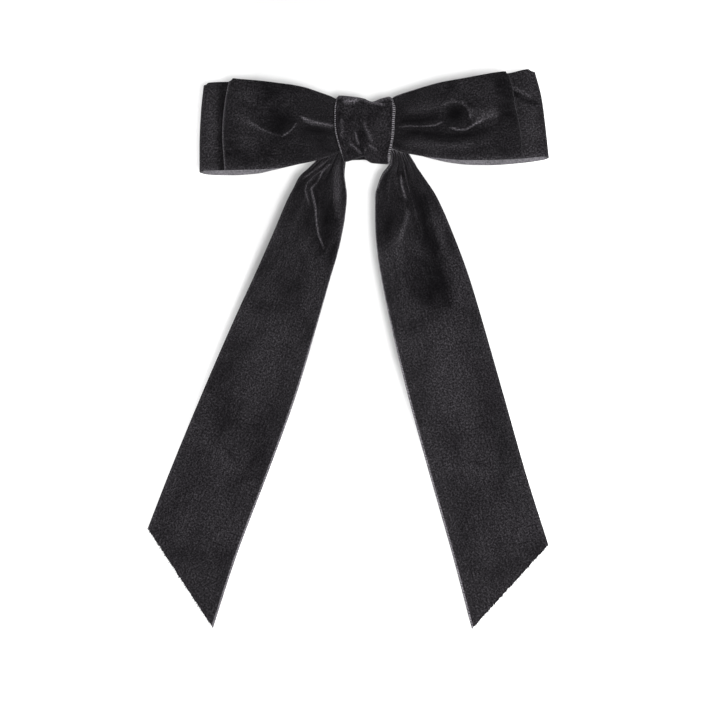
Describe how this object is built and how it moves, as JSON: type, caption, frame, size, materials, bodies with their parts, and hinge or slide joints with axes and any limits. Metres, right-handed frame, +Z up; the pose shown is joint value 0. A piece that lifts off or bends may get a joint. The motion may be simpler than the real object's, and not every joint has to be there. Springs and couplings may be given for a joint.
{
  "type": "hair bow",
  "caption": "Black velvet ribbon bow with double loops and long slant-cut tails, gathered by a centre wrap, on a sprung steel hair clip.",
  "frame": {"origin": "middle of the gap that grips the hair, between the tension bar and the arm, behind the knot", "axes": "+X to the right as the front is seen, +Y from the bow's front to the head, +Z up towards the top of the head"},
  "size_m": [0.1596, 0.0349, 0.2252],
  "materials": {
    "velvet": "black velvet pile, soft sheen at grazing angles",
    "velvet_wrap": "black velvet pile, soft sheen at grazing angles",
    "thread": "twisted black sewing thread",
    "clip_steel": "nickel-plated pressed steel",
    "spring_steel": "nickel-plated spring steel",
    "pin_steel": "bright nickel-plated steel"
  },
  "bodies": {
    "bow": {"front_loop": "velvet", "rear_loop": "velvet", "left_tail_root": "velvet", "right_tail_root": "velvet", "centre_wrap": "velvet_wrap", "gather_thread": "thread", "wrap_stitches": "thread", "plate_stitches": "thread", "clip_plate": "clip_steel", "hinge_pin": "pin_steel", "catch_base": "spring_steel", "catch_rivet": "pin_steel"},
    "left_tail": {"left_tail": "velvet"},
    "right_tail": {"right_tail": "velvet"},
    "clip_arm": {"clip_arm": "clip_steel"},
    "tension_bar": {"tension_bar": "spring_steel"},
    "upper_wing": {"catch_wing_upper": "spring_steel"},
    "lower_wing": {"catch_wing_lower": "spring_steel"}
  },
  "joints": [
    {"name": "left_tail_swing", "type": "hinge", "parent": "bow", "child": "left_tail", "pos_m": [-0.016, -0.00799, -0.0148], "axis": [-1, 0, 0], "range_deg": [-25, 75]},
    {"name": "right_tail_swing", "type": "hinge", "parent": "bow", "child": "right_tail", "pos_m": [0.0126, -0.00799, -0.0148], "axis": [-1, 0, 0], "range_deg": [-25, 75]},
    {"name": "clip_arm_swing", "type": "hinge", "parent": "bow", "child": "clip_arm", "pos_m": [-0.03654, 0.0056, 0], "axis": [0, 0, 1], "range_deg": [0, 80]},
    {"name": "tension_bar_press", "type": "slide", "parent": "bow", "child": "tension_bar", "axis": [0, -1, 0], "range_m": [0, 0.0012], "stiffness_N_per_m": 2000},
    {"name": "upper_wing_pinch", "type": "hinge", "parent": "bow", "child": "upper_wing", "pos_m": [0.03465, -0.00248, 0.0017], "axis": [-0.9915, -0.1302, 0], "range_deg": [0, 8], "stiffness_Nm_per_rad": 0.05},
    {"name": "lower_wing_pinch", "type": "hinge", "parent": "bow", "child": "lower_wing", "pos_m": [0.03465, -0.00248, -0.0017], "axis": [0.9915, 0.1302, 0], "range_deg": [0, 8], "stiffness_Nm_per_rad": 0.05}
  ],
  "couplings": [
    {"joint": "lower_wing_pinch", "follows": "upper_wing_pinch", "ratio": 1}
  ]
}
